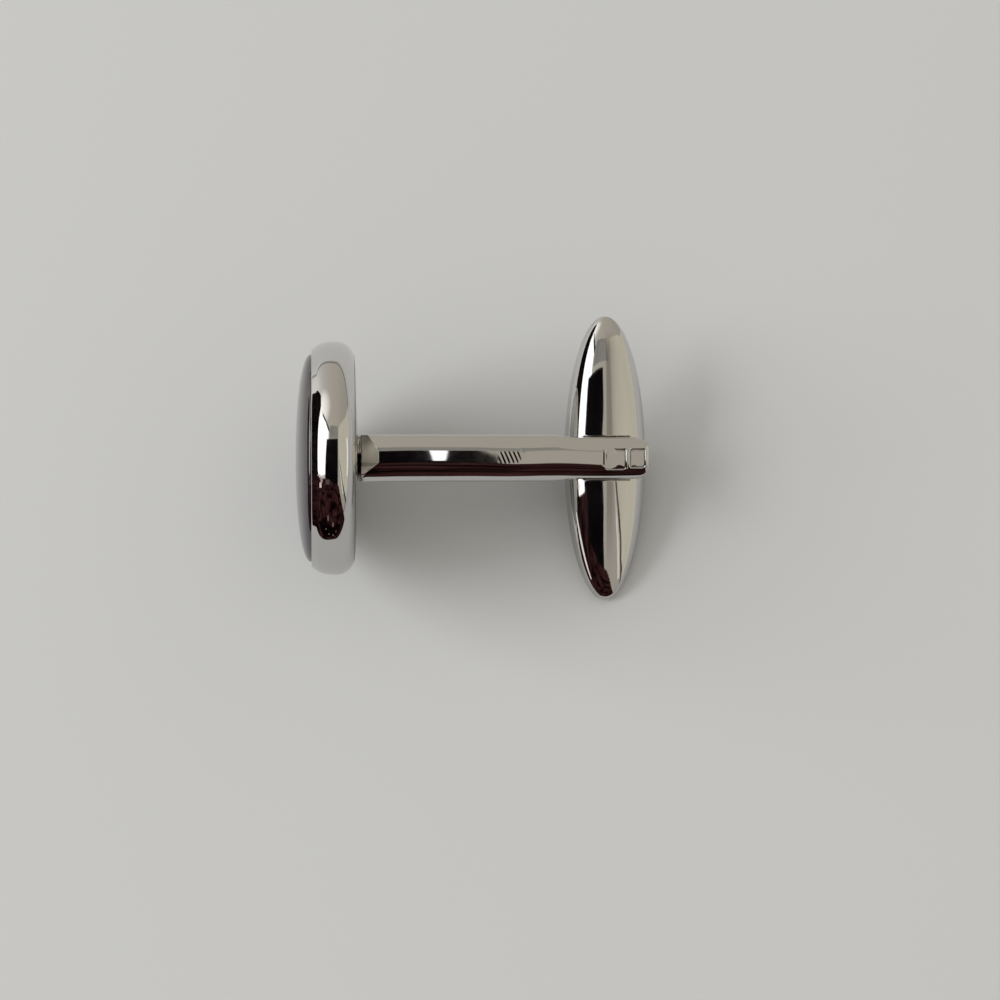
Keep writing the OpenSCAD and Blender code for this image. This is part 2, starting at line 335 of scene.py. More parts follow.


# polished silver: tarnish colour and painted shade in the creases and toned places, haze and dirt in the roughness,
# rub lines and dents in the bump
def silverMaterial(name, finish):
    material, tree, shader, spot = newMaterial(name)
    crease, toningAndPaintedShade = (addNode(tree, "Attribute", (-1300, height), attribute_name=label).outputs["Fac"]
                      for label, height in (("crease", 300), ("toningAndPaintedShade", 480)))
    dirt = addNode(tree, "Group", (-1000, 200), {
        "Vector": spot, "Crease": crease, "ToningAndPaintedShade": toningAndPaintedShade, "Clean": silverColour, "Dark": finish["dark"]
    }, node_tree=tarnishAndShade)
    rough = mathAt(tree, (-500, -50), "ADD", addPolish(tree, shader, spot, finish),
                   mathAt(tree, (-650, 50), "MULTIPLY", dirt.outputs["Mask"], grimeAndShade["rough"]))
    fill(tree, shader, {"Base Color": dirt.outputs["Color"], "Metallic": 1.0,
                        "Roughness": mathAt(tree, (-350, -50), "ADD", rough, finish["gloss"])})
    return material


caseFinish = {"rub": 0.5, "dents": 0.25, "haze": 0.05, "gloss": 0.035, "bump": 0.000012, "dark": (0.07, 0.05, 0.04, 1)}
forkFinish = {"rub": 0.4, "dents": 0.2, "haze": 0.06, "gloss": 0.04, "bump": 0.000016, "dark": (0.05, 0.036, 0.03, 1)}
toggleFinish = {"rub": 0.5, "dents": 0.35, "haze": 0.06, "gloss": 0.035, "bump": 0.000014,
                "dark": (0.06, 0.045, 0.038, 1)}
caseSilver = silverMaterial("caseSilver", caseFinish)
forkSilver = silverMaterial("forkSilver", forkFinish)
toggleSilver = silverMaterial("toggleSilver", toggleFinish)
pinSilver = silverMaterial("pinSilver", {**forkFinish, "gloss": 0.15})


# dark polished stone: faint plum clouding under a clear gloss, with a few fine rub lines
def stoneMaterial(finish):
    material, tree, shader, spot = newMaterial("darkStone")
    cloud = noiseAt(tree, (-900, 200), spot, finish["cloudScale"], 6.0, 0.6)
    haze = addPolish(tree, shader, spot, finish)
    fill(tree, shader, {"Base Color": rampAt(tree, (-600, 200), cloud, finish["deep"], finish["light"], (0.35, 0.75)),
                        "Roughness": mathAt(tree, (-500, -50), "ADD", haze, finish["gloss"]), "IOR": finish["ior"]})
    return material


darkStone = stoneMaterial({"rub": 0.6, "dents": 0.1, "haze": 0.05, "gloss": 0.03, "bump": 0.000004, "ior": 2.3,
                           "cloudScale": 500.0, "deep": (0.012, 0.006, 0.01, 1), "light": (0.026, 0.014, 0.022, 1)})


# a matt material for what lies inside: two colours mixed by noise, dark in the creases (on the solder, soot and
# painted shade in its starved hollow), with a grainy bump
def dullMaterial(name, low, high, scale, rough, metal, bumpDepth):
    material, tree, shader, spot = newMaterial(name)
    grain = noiseAt(tree, (-900, 100), spot, scale, 6.0, 0.6)
    colour = rampAt(tree, (-600, 200), grain, low, high, (0.35, 0.65))
    crease = addNode(tree, "Attribute", (-600, 400), attribute_name="crease").outputs["Fac"]
    sootedAndShaded = addNode(tree, "Mix", (-300, 150), {0: crease, 6: colour, 7: grimeAndShade["sootAndShade"]}, data_type="RGBA")
    bump = addNode(tree, "Bump", (-300, -300), {"Distance": bumpDepth, "Height": grain})
    grit = mathAt(tree, (-650, -100), "MULTIPLY", grain, 0.25)
    fill(tree, shader, {"Base Color": sootedAndShaded.outputs[2], "Normal": bump.outputs["Normal"], "Metallic": metal,
                        "Roughness": mathAt(tree, (-500, -100), "ADD", grit, rough)})
    return material


solderGrey = dullMaterial("solderGrey", (0.2, 0.18, 0.16, 1), (0.62, 0.6, 0.56, 1), 2400.0, 0.15, 1.0, 0.00003)
setCement = dullMaterial("setCement", (0.42, 0.37, 0.27, 1), (0.62, 0.57, 0.45, 1), 1500.0, 0.6, 0.0, 0.00003)
springSteel = dullMaterial("springSteel", (0.3, 0.3, 0.31, 1), (0.48, 0.48, 0.5, 1), 3200.0, 0.2, 1.0, 0.00001)
print("materials ready")

# face: rim, back plate and inlay, all turned about the arm's axis

face = {
    "radius": 7.35, "crestX": -1.38, "frontDepth": 1.53, "frontDrop": 0.98, "frontPower": 2.3, "frontLean": 35.5,
    "lipRound": 0.06, "backDepth": 1.24, "backDrop": 1.3, "backPower": 2.1,
    "lipX": -2.87, "lipRadius": 6.66, "seatRadius": 6.555, "seatX": -1.35, "ledgeRadius": 5.65,
    "plateRadius": 6.15, "plateX": -0.9, "plateFall": 0.12, "plateFallAt": 5.4, "platePower": 4.2, "plateBlend": 8,
    "around": 384, "shake": 0.0012, "lipGrimeAndShade": 0.05, "seamGrimeAndShade": 1.3, "seamOut": 0.36, "seamWidth": 0.06,
    "plateGrime": 0.75, "plateGrimeWidth": 0.04
}
stone = {"radius": 6.535, "rise": 1.0, "power": 2.2, "bedX": -1.45}


# back plate's surface: X falls with a power of the radius, so it is flat in the middle and rounds off to the rim
def plateX(r):
    return -face["plateFall"] * (r / face["plateFallAt"]) ** face["platePower"]


# rim's outer section: two quarter superellipses, from the lip to the crest and from the crest down to the plate; at
# the front it leans no further than a turned chamfer, which ends in a small round at the lip
def rimSection():
    t = np.linspace(0, np.pi / 2, 900)

    def quarter(depth, drop, power, lowest):
        line = np.column_stack([face["crestX"] + depth * np.sin(t) ** (2 / power),
                                face["radius"] - drop * (1 - np.cos(t) ** (2 / power))])
        return line[line[:, 1] >= lowest]
    front = quarter(-face["frontDepth"], face["frontDrop"], face["frontPower"], face["lipRadius"])[1:]
    steep = math.tan(math.radians(face["frontLean"]))
    front = front[np.gradient(front[:, 1], front[:, 0]) < steep]
    corner = np.array([face["lipX"], front[-1, 1] - (front[-1, 0] - face["lipX"]) * steep])
    before = corner + face["lipRound"] * np.array([1.0, steep]) / math.hypot(1, steep)
    after = corner - [0, face["lipRound"]]
    s = np.linspace(0, 1, 30)[:, None]
    bend = (1 - s) ** 2 * before + 2 * s * (1 - s) * corner + s ** 2 * after
    front = np.concatenate([front, bend, [[face["lipX"], face["lipRadius"]]]])
    rear = quarter(face["backDepth"], face["backDrop"], face["backPower"], face["plateRadius"])
    return np.concatenate([front[::-1], rear[1:]])


outer = evenly(rimSection(), 150)
plateAt, plateOut, seatAt, lipAt = (face[key] for key in ("plateX", "plateRadius", "seatX", "lipX"))
inner = throughCorners([
    outer[-1], (plateAt, plateOut), (plateAt, face["ledgeRadius"]), (seatAt, face["ledgeRadius"]),
    (seatAt, face["seatRadius"]), (lipAt, face["seatRadius"]), (lipAt, face["lipRadius"] - 0.03)], [8, 4, 4, 5, 8, 4])
section = np.concatenate([outer, inner])
# painted shade on the rim: grime and painted contact shade where the stone meets the lip, and a dark line beside the
# back plate's joint, made darker as a painted reflection of the shade at the disc's foot
rimGrimeAndShade = np.exp(-((section[:, 0] - lipAt) ** 2 + (section[:, 1] - face["seatRadius"]) ** 2) / face["lipGrimeAndShade"] ** 2)
seam = np.exp(-((section[:, 1] - plateOut - face["seamOut"]) / face["seamWidth"]) ** 2)
rimGrimeAndShade += face["seamGrimeAndShade"] * seam * (section[:, 0] > -0.8)
turnedPiece("faceRim", section, True, caseSilver, "face_rim", rimGrimeAndShade, face["shake"], seed=5)

plateR = np.linspace(0, plateOut, 90)
toRim = (outer[-1, 0] - plateX(plateOut)) * (plateR / plateOut) ** face["plateBlend"]
crown = np.column_stack([plateX(plateR) + toRim, plateR])
plateBack = [crown[-1], (plateAt, plateOut), (plateAt, 0)]
plateSection = np.concatenate([crown, throughCorners(plateBack, [8, 12])])
plateGrime = face["plateGrime"] * np.exp(-((plateSection[:, 1] - plateOut) / face["plateGrimeWidth"]) ** 2)
caseBack = turnedPiece("caseBack", plateSection, False, caseSilver, "case_back",
                       plateGrime * (plateSection[:, 0] > -0.5))

t = np.linspace(0, np.pi / 2, 500)
stoneDome = evenly(np.column_stack([lipAt - stone["rise"] * np.cos(t) ** (2 / stone["power"]),
                                    stone["radius"] * np.sin(t) ** (2 / stone["power"])]), 120)
stoneBed = [(lipAt, stone["radius"]), (stone["bedX"], stone["radius"]), (stone["bedX"], 0)]
stoneSection = np.concatenate([stoneDome, throughCorners(stoneBed, [8, 12])])
turnedPiece("inlayStone", stoneSection, False, darkStone, "inlay")

# fork: one strip of D-section, carried from the front arm's tip round the base to the rear arm's tip

fork = {
    "width": 2.94, "neck": 2.6, "neckFrom": 12.1, "neckTo": 13.8, "tip": 18.27, "tipCorner": 0.9, "tipEase": 0.3,
    "inside": 1.39, "crown": 2.59, "crownRadius": 2.0, "crownShift": 0.13, "edge": 0.13, "insideEdge": 0.07,
    "baseX": 0.2, "baseHalf": 1.96, "slotX": 1.3, "bend": 0.6, "cornerX": 1.29, "cornerSlope": 30, "cornerSoft": 0.02,
    "cornerLine": [(-1.44, 0.2), (-0.88, 0.5), (-0.26, 1.29), (0.48, 1.29), (1.47, 0.6)],
    "roll": 0.02, "rollLength": 7.0, "wave": 0.0025, "waveLength": 9.0, "gapGrime": 0.12,
    "toningAndPaintedShade": 0.36, "patches": 0.2, "patchLength": 0.9, "spot": 0.9, "spotAt": (0.95, -0.78), "spotSize": (0.4, 0.22)
}
punch = {"depth": 0.04, "corner": 0.2, "edge": 0.07, "burr": 0.012, "burrAt": 0.03, "burrWidth": 0.05,
         "rough": 0.0015, "roughLength": 0.7, "grimeAt": 0.07, "grimeWidth": 0.035,
         "boxes": [(16.1, -0.06, 0.67, 0.67), (17.46, 0.0, 0.52, 0.62)]}
fileMarks = {"x": (8.7, 10.2), "y": (-0.35, 0.5), "pitch": 0.27, "slant": -0.45, "depth": 0.005, "fadeX": 0.3,
             "fadeY": 0.2, "burr": 0.2}
pit = {"at": (10.25, 0.5), "radius": 0.1, "depth": 0.006}


# how far a rounded end falls back at a place across it: r - sqrt(r^2 - into^2)
def edgeDrop(y, half, radius):
    into = np.clip(np.abs(y) - (half - radius), 0, radius)
    return radius - np.sqrt(np.maximum(radius ** 2 - into ** 2, 0))


# half the fork's width: wide, then an S down to the neck, then the tip's round corners
def halfWidth(x):
    half = 0.5 * (fork["width"] + (fork["neck"] - fork["width"])
                  * ease((x - fork["neckFrom"]) / (fork["neckTo"] - fork["neckFrom"])))
    return half - edgeDrop(x, fork["tip"], fork["tipCorner"])


# signed distance to a rounded box: below zero inside
def roundedBox(x, y, box, corner):
    cx, cy, hx, hy = box
    dx, dy = np.abs(x - cx) - hx + corner, np.abs(y - cy) - hy + corner
    return np.hypot(np.maximum(dx, 0), np.maximum(dy, 0)) + np.minimum(np.maximum(dx, dy), 0) - corner


# blank punch: a floor that drops inside a rounded box, with a burr raised round it
def punched(x, y):
    total, dirt = np.zeros(x.shape), np.zeros(x.shape)
    for box in punch["boxes"]:
        d = roundedBox(x, y, box, punch["corner"])
        total += -punch["depth"] * ease(-d / punch["edge"])
        total += punch["burr"] * np.exp(-((d - punch["burrAt"]) / punch["burrWidth"]) ** 2)
        total += punch["rough"] * ease(-d / 0.2) * ripple(x, y, 0 * x, punch["roughLength"], 31)
        dirt = np.maximum(dirt, np.exp(-((d + punch["grimeAt"]) / punch["grimeWidth"]) ** 2))
    return total, dirt


# the round crown before any hand work: an arc over a centre line that lies a little to one side
def roundCrown(y, front):
    shift = fork["crownShift"] if front else -fork["crownShift"]
    return fork["crown"] - fork["crownRadius"] + np.sqrt(fork["crownRadius"] ** 2 - (y - shift) ** 2)


# fork's outer height above the mid-plane: round crown, waves, punches, file marks and the eased tip
def crownHeight(x, y, front):
    fade = ease((fork["tip"] - x) / 1.0)
    seed = 11 if front else 12
    # long waves of height, and a roll: height times a wave along the arm
    rise = roundCrown(y, front) + fork["wave"] * fade * ripple(x, 0.3 * y, 0 * x, fork["waveLength"], seed)
    rise = rise + fork["roll"] * fade * y * ripple(x, 0 * y, 0 * x, fork["rollLength"], seed + 20, 5)
    dirt = np.zeros(x.shape)
    if front:
        dent, dirt = punched(x, y)
        filed = band(y, *fileMarks["y"], fileMarks["fadeY"], fileMarks["fadeY"])
        filed = filed * band(x, *fileMarks["x"], fileMarks["fadeX"], fileMarks["fadeX"])
        lines = np.sin(2 * np.pi * (x - fileMarks["slant"] * y) / fileMarks["pitch"])
        rise = rise + dent - fileMarks["depth"] * filed * np.maximum(lines, -fileMarks["burr"])
        rise = rise - pit["depth"] * np.exp(-((x - pit["at"][0]) ** 2 + (y - pit["at"][1]) ** 2) / pit["radius"] ** 2)
    return rise - edgeDrop(x, fork["tip"], fork["tipEase"]), dirt


# how far a place lies short of the filed corner's line
def shortOfLine(x, y):
    return np.interp(y, *np.array(fork["cornerLine"]).T) - x


# one arm and half of the base as rows of section loops, from the tip to the middle of the base
def forkHalf(front):
    bendX, bendZ = fork["slotX"] + fork["bend"], fork["inside"] - fork["bend"]
    # rows close together over the punches and the file marks of the front arm
    punchStep, fileStep = (0.035, 0.045) if front else (0.09, 0.1)
    tipX = fork["tip"] - fork["tipEase"] * (1 - np.cos(np.linspace(0, np.pi / 2, 12)))
    xs = np.unique(np.round(np.concatenate([
        tipX, np.arange(14.9, 18.0, punchStep), np.arange(10.5, 14.9, 0.08), np.arange(8.8, 10.5, fileStep),
        np.arange(bendX, 8.8, 0.09)]), 4))[::-1]
    # outer path round the base: along the crown, down the filed corner, then down the base
    outerPath = evenly([(bendX, fork["crown"]), (fork["cornerX"], fork["crown"]), (fork["baseX"], fork["baseHalf"]),
                        (fork["baseX"], bendZ)], 90)[1:]
    sweep = np.linspace(0, np.pi / 2, 90)[1:]
    innerPath = np.column_stack([bendX - fork["bend"] * np.sin(sweep), bendZ + fork["bend"] * np.cos(sweep)])
    base = np.linspace(bendZ, 0, 12)[1:]
    outerX = np.concatenate([xs, outerPath[:, 0], np.full(len(base), fork["baseX"])])
    outerZ = np.concatenate([np.full(len(xs), fork["crown"]), outerPath[:, 1], base])
    innerX = np.concatenate([xs, innerPath[:, 0], np.full(len(base), fork["slotX"])])
    innerZ = np.concatenate([np.full(len(xs), fork["inside"]), innerPath[:, 1], base])
    # places across the width, closer together at the two edges
    edge = np.sin(np.linspace(-np.pi / 2, np.pi / 2, 17))[:7] * 0.14 - 0.86
    across = np.concatenate([edge, np.linspace(-0.87, 0.87, 84), -edge[::-1]])
    half = np.where(outerX > bendX, halfWidth(outerX), fork["width"] / 2)[:, None]
    y = across[None, :] * half
    x = outerX[:, None] + 0 * y
    crownZ, dirt = crownHeight(x, y, front)
    # filed corner: strokes that all fall at one slope, from an angular line drawn on the round crown
    slope = math.tan(math.radians(fork["cornerSlope"]))
    flat = roundCrown(y, front) - shortOfLine(x, y) * slope
    flat = np.where(x > fork["baseX"] + 0.001, flat, np.minimum(outerZ[:, None], flat))
    z = softMin(crownZ, flat, fork["cornerSoft"])
    outside = np.stack([x, y, z], -1)
    insideY = np.linspace(1, -1, 13)[None, :] * half
    inside = np.stack([innerX[:, None] + 0 * insideY, insideY, innerZ[:, None] + 0 * insideY], -1)
    # both edges are rounded towards the other side of the strip, as seen from the middle of each row
    toInside = (inside[:, 6:7] - outside[:, 49:50]) * [1, 0, 1]
    toInside /= np.linalg.norm(toInside, axis=-1, keepdims=True)
    outside = outside + toInside * edgeDrop(y, half, fork["edge"])[..., None]
    inside = inside - toInside * edgeDrop(insideY, half, fork["insideEdge"])[..., None]
    loops = np.concatenate([outside, inside], 1)
    marks = np.concatenate([dirt, 0 * insideY], 1)
    gap = np.exp(-np.maximum(loops[..., 0] - fork["baseX"], 0) / fork["gapGrime"])
    marks = np.maximum(marks, gap * (np.abs(loops[..., 2]) < fork["baseHalf"] + 0.05))
    if not front:
        loops = loops * [1, 1, -1]
    return loops, marks


frontLoops, frontMarks = forkHalf(True)
rearLoops, rearMarks = forkHalf(False)
loops = np.concatenate([frontLoops, rearLoops[::-1][1:]])
marks = np.concatenate([frontMarks, rearMarks[::-1][1:]])
forkStrip = loopedPiece("forkStrip", loops, [loops[0].mean(0), loops[-1].mean(0)], forkSilver, "yoke",
                        marks, 50)
# the hand-filed corner is left a little toned, in patches and in one darker spot
x, y, z = loops.reshape(-1, 3).T
onFacet = past(shortOfLine(x, y), 0.08) * past(x - fork["baseX"], 0.1)
toningAndPaintedShade = onFacet * np.clip(fork["toningAndPaintedShade"] + fork["patches"] * ripple(x, y, z, fork["patchLength"], 61), 0, 0.8)
fromSpot = ((x - fork["spotAt"][0]) / fork["spotSize"][0]) ** 2 + ((y - fork["spotAt"][1]) / fork["spotSize"][1]) ** 2
toningAndPaintedShade = np.maximum(toningAndPaintedShade, fork["spot"] * (z > 0) * np.exp(-fromSpot))
markPoints(forkStrip.data, "toningAndPaintedShade", np.concatenate([toningAndPaintedShade, [0, 0]]))

# solder: a lumpy pad between the plate and the fork's base, starved along one side

bead = {"halfY": 1.47, "halfZ": 1.87, "from": -0.03, "to": 0.24, "corner": 8, "around": 240, "levels": 11,
        "starve": 0.34, "starvedY": (-1.3, 0.32), "starvedZ": 1.2, "lump": 0.025, "lumpLength": 0.8, "waist": 0.03,
        "sootAndShade": 1.5, "sootAndShadeY": (-1.35, 0.4), "sootAndShadeZ": (1.2, 2.1)}
turn = fullTurn(bead["around"])
reachY = np.abs(np.cos(turn)) / bead["halfY"]
reachZ = np.abs(np.sin(turn)) / bead["halfZ"]
# a rounded rectangle in polar form
radius = 1 / (reachY ** bead["corner"] + reachZ ** bead["corner"]) ** (1 / bead["corner"])
edgeY, edgeZ = radius * np.cos(turn), radius * np.sin(turn)
starved = band(edgeY, *bead["starvedY"], 0.2, 0.25) * (edgeZ > bead["starvedZ"])
lumps = bead["lump"] * (0.6 + 0.6 * ripple(edgeY, edgeZ, 0 * edgeY, bead["lumpLength"], 41))
pull = bead["starve"] * starved + lumps
level = np.linspace(0, 1, bead["levels"])[:, None]
waist = bead["waist"] * (1 - (2 * level - 1) ** 2)  # a hollow fillet between the two faces
shrink = 1 - (pull + waist) / radius
beadX = bead["from"] + (bead["to"] - bead["from"]) * level + 0 * shrink
beadLoops = np.stack([beadX, edgeY * shrink, edgeZ * shrink], -1)
# the starved side is darkened: flux soot and painted shade in its hollow
loopedPiece("solderBead", beadLoops, [[bead["from"], 0, 0], [bead["to"], 0, 0]], solderGrey, "solder_seam",
            starved + 0 * level)


# a mesh's points in link millimetres, as X, Y and Z
def inLink(mesh):
    spots = np.empty(len(mesh.vertices) * 3, np.float32)
    mesh.vertices.foreach_get("co", spots)
    return ((spots.reshape(-1, 3) - linkOrigin) @ linkAxes.T / link["unit"]).T


# the plate is darkened where the solder is starved: flux soot and painted shade in the hollow
x, y, z = inLink(caseBack.data)
plateMarks = np.empty(len(x), np.float32)
caseBack.data.attributes["crease"].data.foreach_get("value", plateMarks)
near = band(y, *bead["sootAndShadeY"], 0.2, 0.2) * band(z, *bead["sootAndShadeZ"], 0.1, 0.15) * (x > -0.3)
markPoints(caseBack.data, "crease", np.maximum(plateMarks, bead["sootAndShade"] * near))

# pin: round where the arms and shells hold it, squared in the middle, ends just under the crowns

pin = {"radius": 0.7, "square": 0.52, "squareZ": 0.9, "blend": 0.05, "end": 2.53, "endRound": (0.05, 0.12),
       "dome": 0.02, "around": 96}
upper = np.concatenate([np.linspace(0, 0.84, 5), np.linspace(0.84, pin["squareZ"], 5),
                        np.linspace(pin["squareZ"], pin["end"], 14)])
levels = np.unique(np.round(np.concatenate([-upper, upper]), 4))[:, None]
turn = fullTurn(pin["around"])
box = np.minimum(pin["square"] / np.maximum(np.abs(np.cos(turn)), np.abs(np.sin(turn))), pin["radius"])
radius = pin["radius"] + (box - pin["radius"]) * ease((pin["squareZ"] - np.abs(levels)) / pin["blend"])
fall, fallFrom = pin["endRound"]
radius = radius - fall * ease((np.abs(levels) - pin["end"] + fallFrom) / fallFrom)
pinLoops = np.stack([link["reach"] + radius * np.cos(turn), radius * np.sin(turn), levels + 0 * radius], -1)
pinCentres = [[link["reach"], 0, end * (pin["end"] + pin["dome"])] for end in (-1, 1)]
loopedPiece("pivotRivet", pinLoops, pinCentres, pinSilver, "pivot_pin", 0 * radius)

# toggle: two pressed half shells with a cross groove for the arms and a bored boss

toggle = {"halfX": 2.575, "halfY": 9.0, "halfZ": 1.35, "wall": 0.45, "grooveHalf": 1.38, "grooveZ": 1.1,
          "grooveWall": 0.06, "grooveSoft": 0.03, "boss": 1.1, "bossWall": 0.04, "bore": 0.73, "wave": 0.004,
          "waveLength": 2.8, "groovePaintedShade": 0.05}


# half ellipsoid from the mid-plane up, as rows along Y and columns over the crest:
# X = a s cos(angle), Z = b s sin(angle), with s the ellipse's width at that Y
def shellSurface(margin, ys, angles):
    a, c, b = toggle["halfX"] - margin, toggle["halfY"] - margin, toggle["halfZ"] - margin
    y = np.clip(ys, -c, c)[:, None]
    size = np.sqrt(np.maximum(1 - (y / c) ** 2, 0))
    return np.stack([a * size * np.cos(angles), y + 0 * angles[None, :], b * size * np.sin(angles)], -1)


def toggleShell(name, side, node, seed):
    ys = np.unique(np.round(np.concatenate([
        toggle["halfY"] * np.sin(np.linspace(-np.pi / 2, np.pi / 2, 151)),
        np.linspace(-1.5, -1.26, 17), np.linspace(1.26, 1.5, 17), np.linspace(-1.2, 1.2, 33)]), 5))
    angles = np.linspace(0, np.pi, 161)
    outside = shellSurface(0, ys, angles)
    x, y, z = np.moveaxis(outside, -1, 0)
    # painted shade along the groove's edges, in the gap beside the arms
    crease = np.exp(-((np.abs(y) - toggle["grooveHalf"]) / toggle["groovePaintedShade"]) ** 2) * (z > toggle["grooveZ"] - 0.02)
    z = z + toggle["wave"] * ease((z - 0.2) / 0.5) * ripple(x, 0.5 * y, 0 * x, toggle["waveLength"], seed)
    # the groove cuts the shell down to its floor, but for the boss, which stands up to the crest's height
    inGroove = past(toggle["grooveHalf"] - np.abs(y), toggle["grooveWall"])
    onBoss = past(toggle["boss"] - np.hypot(x, y), toggle["bossWall"])
    clear = 3.0
    cut = toggle["grooveZ"] + (clear - toggle["grooveZ"]) * (1 - inGroove)
    cut = np.minimum(cut + (toggle["halfZ"] - toggle["grooveZ"]) * onBoss, clear)
    z = np.where(z > 0.6, softMin(z, cut, toggle["grooveSoft"]), z)
    outside = np.stack([x, y, z], -1)
    inside = shellSurface(toggle["wall"], ys * (toggle["halfY"] - toggle["wall"]) / toggle["halfY"], angles[::8])
    shell = np.concatenate([outside.reshape(-1, 3), inside.reshape(-1, 3)]) * [1, 1, side]
    shell[:, 0] += link["reach"]
    outerIndex = np.arange(crease.size).reshape(crease.shape)
    innerIndex = crease.size + np.arange(inside[..., 0].size).reshape(inside.shape[:2])
    for grid in (outerIndex, innerIndex):
        grid[0], grid[-1] = grid[0, 0], grid[-1, 0]
    grids = [outerIndex, innerIndex[:, ::-1],
             np.stack([innerIndex[:, 0], outerIndex[:, 0]], 1),
             np.stack([outerIndex[:, -1], innerIndex[:, -1]], 1)]
    used, packed = np.unique(np.concatenate([g.ravel() for g in grids]), return_inverse=True)
    cuts = np.cumsum([g.size for g in grids])[:-1]
    grids = [p.reshape(g.shape) for p, g in zip(np.split(packed, cuts), grids)]
    marks = np.concatenate([crease.ravel(), np.zeros(innerIndex.size)])[used]
    return makePiece(name, shell[used], grids, "toggle", toggleSilver, node, marks, 35)


frontShell = toggleShell("toggleFrontShell", 1, "toggle_front_shell", 21)
rearShell = toggleShell("toggleRearShell", -1, "toggle_rear_shell", 22)


# the pin's bore: each shell less a cylinder, worked out once and kept as the shell's mesh
def boreShell(shell):
    bpy.ops.mesh.primitive_cylinder_add(vertices=64, radius=toggle["bore"] * link["unit"], depth=6 * link["unit"])
    cutter = bpy.context.object
    cutter.matrix_world = placed([link["reach"], 0, 0], linkAxes.T)
    bpy.context.view_layer.update()
    cut = shell.modifiers.new("bore", "BOOLEAN")
    cut.operation, cut.object, cut.solver = "DIFFERENCE", cutter, "EXACT"
    graph = bpy.context.evaluated_depsgraph_get()
    bored = bpy.data.meshes.new_from_object(shell.evaluated_get(graph))
    shell.modifiers.clear()
    bored.name = shell.data.name
    shell.data = bored
    bpy.data.objects.remove(cutter)


shading = {"onSurface": 0.012, "slopeRise": 0.49, "slopePower": 2.25, "shoulder": 1.3, "shoulderFrom": 0.6,
           "crestShift": 0.09, "shiver": 0.012, "shiverLength": 2.0, "toningAndPaintedShade": 0.42, "paintedBandFrom": 0.02,
           "paintedBandWidth": 0.25, "paintedBandStart": 4, "paintedBandStay": 0.9, "paintedBandEnds": (-9.5, 8.3)}


# the shells' shading follows a section with rounder shoulders than the thin CAD one: at a share u of the half width
# the surface leans by a superellipse's slope, k u^(n-1) / (1 - u^n)^(1-1/n), plus a shoulder that grows from one
# share on, and along the toggle it leans as the ellipsoid does. Beside the crest a painted dark band stands in for a
# darker reflection.
def roundNormals(shell):
    mesh = shell.data
    x, y, z = inLink(mesh)
    x = x - link["reach"]
    a, c, b, n = toggle["halfX"], toggle["halfY"], toggle["halfZ"], shading["slopePower"]
    onShell = np.abs((x / a) ** 2 + (y / c) ** 2 + (z / b) ** 2 - 1) < shading["onSurface"]
    onShell &= (np.abs(z) > 0.002) & (np.abs(y) < c - 0.001)
    onShell &= (np.abs(y) > toggle["grooveHalf"] + 0.08) | (np.abs(z) < toggle["grooveZ"] - 0.1)
    size = np.sqrt(np.maximum(1 - (y / c) ** 2, 1e-6))
    u = (x - shading["crestShift"] * np.sign(z)) / (a * size)
    share = np.clip(np.abs(u), 0, 0.9995)
    across = shading["slopeRise"] * share ** (n - 1) / (1 - share ** n) ** (1 - 1 / n)
    across += shading["shoulder"] * np.maximum(share - shading["shoulderFrom"], 0)
    across += shading["shiver"] * np.sign(u) * ripple(x, 0.45 * y, 0 * x, shading["shiverLength"], 71)
    along = y * b / (c ** 2 * size * np.sqrt(1 - share ** 2))
    normals = np.column_stack([across * np.sign(u), along, np.sign(z)])
    normals /= np.linalg.norm(normals, axis=1, keepdims=True)
    mesh.normals_split_custom_set_from_vertices(np.where(onShell[:, None], normals @ linkAxes, 0.0).tolist())
    # the painted dark band starts sharply beside the crest, stays for a while and dies away down the far side
    beside = (x - shading["paintedBandFrom"]) / shading["paintedBandWidth"]
    before, after = beside * shading["paintedBandStart"], np.maximum(beside - shading["paintedBandStay"], 0)
    streak = np.where(beside < 0, np.exp(-before ** 2), np.exp(-after ** 1.2 * 0.9))
    ends = band(y, *shading["paintedBandEnds"], 8, 1.5) * onShell * (z > 0)
    markPoints(mesh, "toningAndPaintedShade", shading["toningAndPaintedShade"] * streak * ends)


for shell in (frontShell, rearShell):
    boreShell(shell)
    roundNormals(shell)
print("toggle shells bored")

for nodeName, material in (("cement_bed", setCement), ("detent_spring", springSteel)):
    mesh = nodes[nodeName].data
    mesh.materials.clear()
    mesh.materials.append(material)

# stage: floor, camera, light, and the dark and bright things that the polished silver mirrors

floor = {"half": 1.5, "colour": (0.655, 0.655, 0.64, 1), "cloud": (0.645175, 0.645175, 0.6304, 1), "cloudScale": 12.0,
         "towardsWindow": (-0.1, 0.99, 0.0), "seenFrom": (0.0, 0.0, 0.006), "sheen": 0.82, "sheenSpan": (-0.6, 0.5)}
bpy.ops.mesh.primitive_plane_add(size=2 * floor["half"])
ground = bpy.context.object
ground.name = "ground"
paper, tree, shader, spot = newMaterial("palePaper")
cloud = noiseAt(tree, (-900, 100), spot, floor["cloudScale"], 4.0, 0.5)
shade = rampAt(tree, (-600, 100), cloud, floor["cloud"], floor["colour"])
